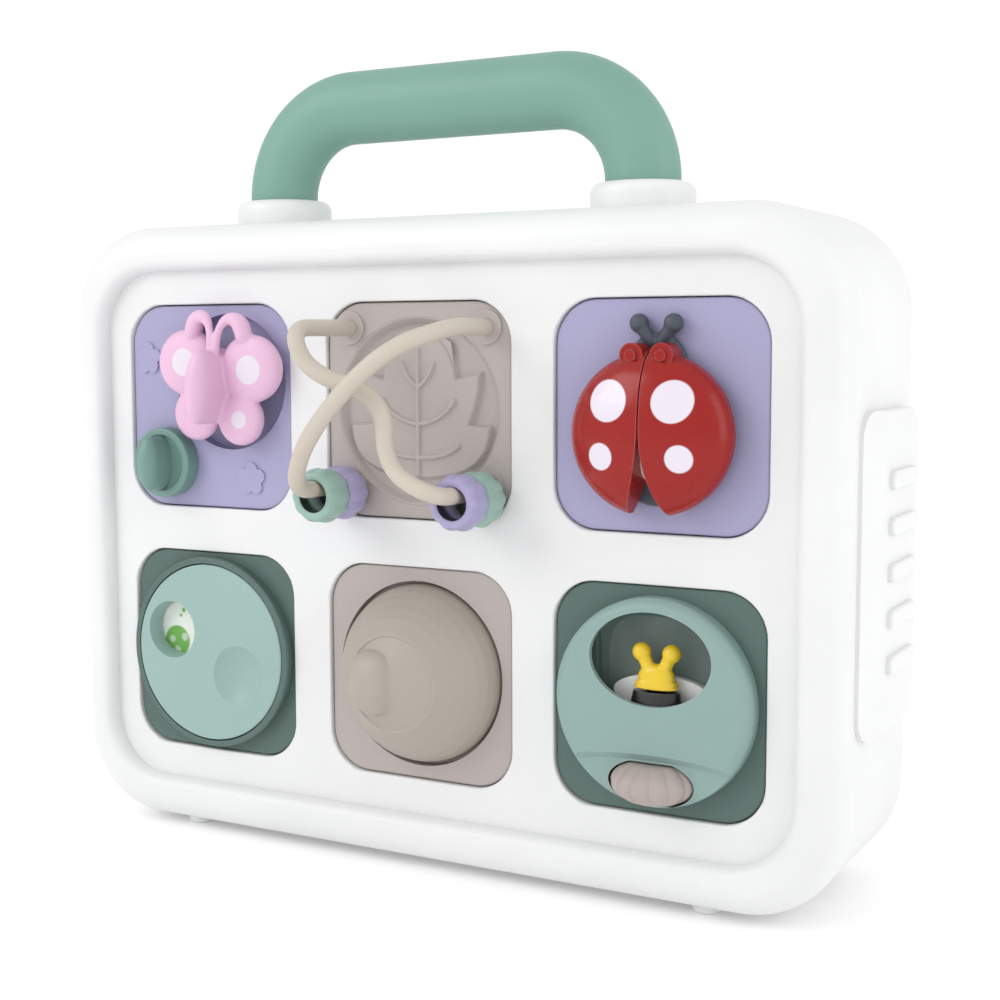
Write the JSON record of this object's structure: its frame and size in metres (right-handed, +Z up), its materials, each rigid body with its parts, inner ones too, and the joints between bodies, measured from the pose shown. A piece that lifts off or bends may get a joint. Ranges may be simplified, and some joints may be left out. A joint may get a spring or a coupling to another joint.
{
  "type": "busy board",
  "caption": "Toddler's busy board: a white plastic case with a carry handle and play panels: turning butterfly, bead wires, ladybird wings, picture dial, cone knob and lifting bee",
  "frame": {"origin": "centre of the object's footprint, on the ground under its feet", "axes": "X to the right as seen from the front, the play face looks towards -Y, Z up"},
  "size_m": [0.251, 0.0938, 0.2235],
  "materials": {
    "case_white": "smooth satin",
    "handle_mint": "smooth satin",
    "cover_mint": "smooth satin",
    "leaf_green": "smooth satin",
    "lavender": "smooth satin",
    "taupe": "smooth satin",
    "forest_green": "smooth satin",
    "petal_pink": "smooth satin",
    "ladybird_red": "smooth gloss",
    "slate": "smooth satin",
    "cream": "smooth satin",
    "sand": "smooth satin",
    "bee_yellow": "smooth semi-gloss",
    "bee_black": "smooth semi-gloss",
    "bee_white": "smooth satin",
    "print": "printed",
    "inner_natural": "as moulded",
    "screw_steel": "plated"
  },
  "bodies": {
    "case": {"front_shell": "case_white", "rear_shell": "case_white", "case_screws": "screw_steel", "panel_screws": "screw_steel", "feet": "case_white", "handle": "handle_mint", "handle_pins": "screw_steel", "handle_collar_left": "case_white", "handle_collar_right": "case_white", "side_pad_left": "case_white", "side_pad_right": "case_white", "butterfly_panel": "lavender", "leaf_panel": "taupe", "bead_wire_left": "cream", "bead_wire_right": "cream", "wire_nuts": "inner_natural", "ladybird_panel": "lavender", "ladybird_body": "slate", "ladybird_belly": "cream", "picture_panel": "forest_green", "picture_disc": "print", "cone_panel": "taupe", "bee_panel": "forest_green", "bee_cover": "cover_mint", "cover_screws": "screw_steel"},
    "butterfly": {"butterfly_knob": "petal_pink", "butterfly_gear": "inner_natural", "butterfly_screw": "screw_steel"},
    "small_knob": {"turn_knob": "leaf_green", "turn_knob_gear": "inner_natural", "turn_knob_screw": "screw_steel"},
    "wing_left": {"ladybird_wing_left": "ladybird_red", "wing_screw_left": "screw_steel"},
    "wing_right": {"ladybird_wing_right": "ladybird_red", "wing_screw_right": "screw_steel"},
    "dial": {"picture_dial": "cover_mint", "dial_retainer": "inner_natural", "dial_screw": "screw_steel"},
    "cone": {"cone_knob": "sand", "cone_retainer": "inner_natural", "cone_screw": "screw_steel"},
    "roller": {"bee_roller": "sand", "lift_screw": "inner_natural"},
    "bee": {"bee_body": "bee_black", "bee_head": "bee_yellow", "bee_wings": "bee_white"},
    "bead_left_rear": {"bead_left_rear": "lavender"},
    "bead_left_front": {"bead_left_front": "leaf_green"},
    "bead_right_rear": {"bead_right_rear": "leaf_green"},
    "bead_right_front": {"bead_right_front": "lavender"}
  },
  "joints": [
    {"name": "butterfly_spin", "type": "hinge", "parent": "case", "child": "butterfly", "pos_m": [-0.0637, -0.0131, 0.1351], "axis": [0, -1, 0], "continuous": true},
    {"name": "small_knob_spin", "type": "hinge", "parent": "case", "child": "small_knob", "pos_m": [-0.08642, -0.0131, 0.11116], "axis": [0, -1, 0], "continuous": true},
    {"name": "wing_left_swing", "type": "hinge", "parent": "case", "child": "wing_left", "pos_m": [0.067, -0.0131, 0.1431], "axis": [0, 1, 0], "range_deg": [0, 35]},
    {"name": "wing_right_swing", "type": "hinge", "parent": "case", "child": "wing_right", "pos_m": [0.075, -0.0131, 0.1431], "axis": [0, -1, 0], "range_deg": [0, 35]},
    {"name": "dial_spin", "type": "hinge", "parent": "case", "child": "dial", "pos_m": [-0.071, -0.0131, 0.0552], "axis": [0, -1, 0], "continuous": true},
    {"name": "cone_spin", "type": "hinge", "parent": "case", "child": "cone", "pos_m": [0, -0.0131, 0.0552], "axis": [0, -1, 0], "continuous": true},
    {"name": "roller_spin", "type": "hinge", "parent": "case", "child": "roller", "pos_m": [0.071, -0.0131, 0.0346], "axis": [0, 0, 1], "range_deg": [-120, 120]},
    {"name": "bee_lift", "type": "slide", "parent": "case", "child": "bee", "axis": [0, 0, 1], "range_m": [-0.00401, 0.00401]},
    {"name": "bead_left_rear_spin", "type": "hinge", "parent": "case", "child": "bead_left_rear", "pos_m": [-0.0216, -0.01815, 0.10515], "axis": [0, -1, 0], "continuous": true},
    {"name": "bead_left_front_spin", "type": "hinge", "parent": "case", "child": "bead_left_front", "pos_m": [-0.0216, -0.02735, 0.10515], "axis": [0, -1, 0], "continuous": true},
    {"name": "bead_right_rear_spin", "type": "hinge", "parent": "case", "child": "bead_right_rear", "pos_m": [0.0216, -0.01815, 0.10515], "axis": [0, -1, 0], "continuous": true},
    {"name": "bead_right_front_spin", "type": "hinge", "parent": "case", "child": "bead_right_front", "pos_m": [0.0216, -0.02735, 0.10515], "axis": [0, -1, 0], "continuous": true}
  ],
  "couplings": [
    {"joint": "small_knob_spin", "follows": "butterfly_spin", "ratio": -1.75},
    {"joint": "bee_lift", "follows": "roller_spin", "m_per_rad": -0.0019099}
  ]
}
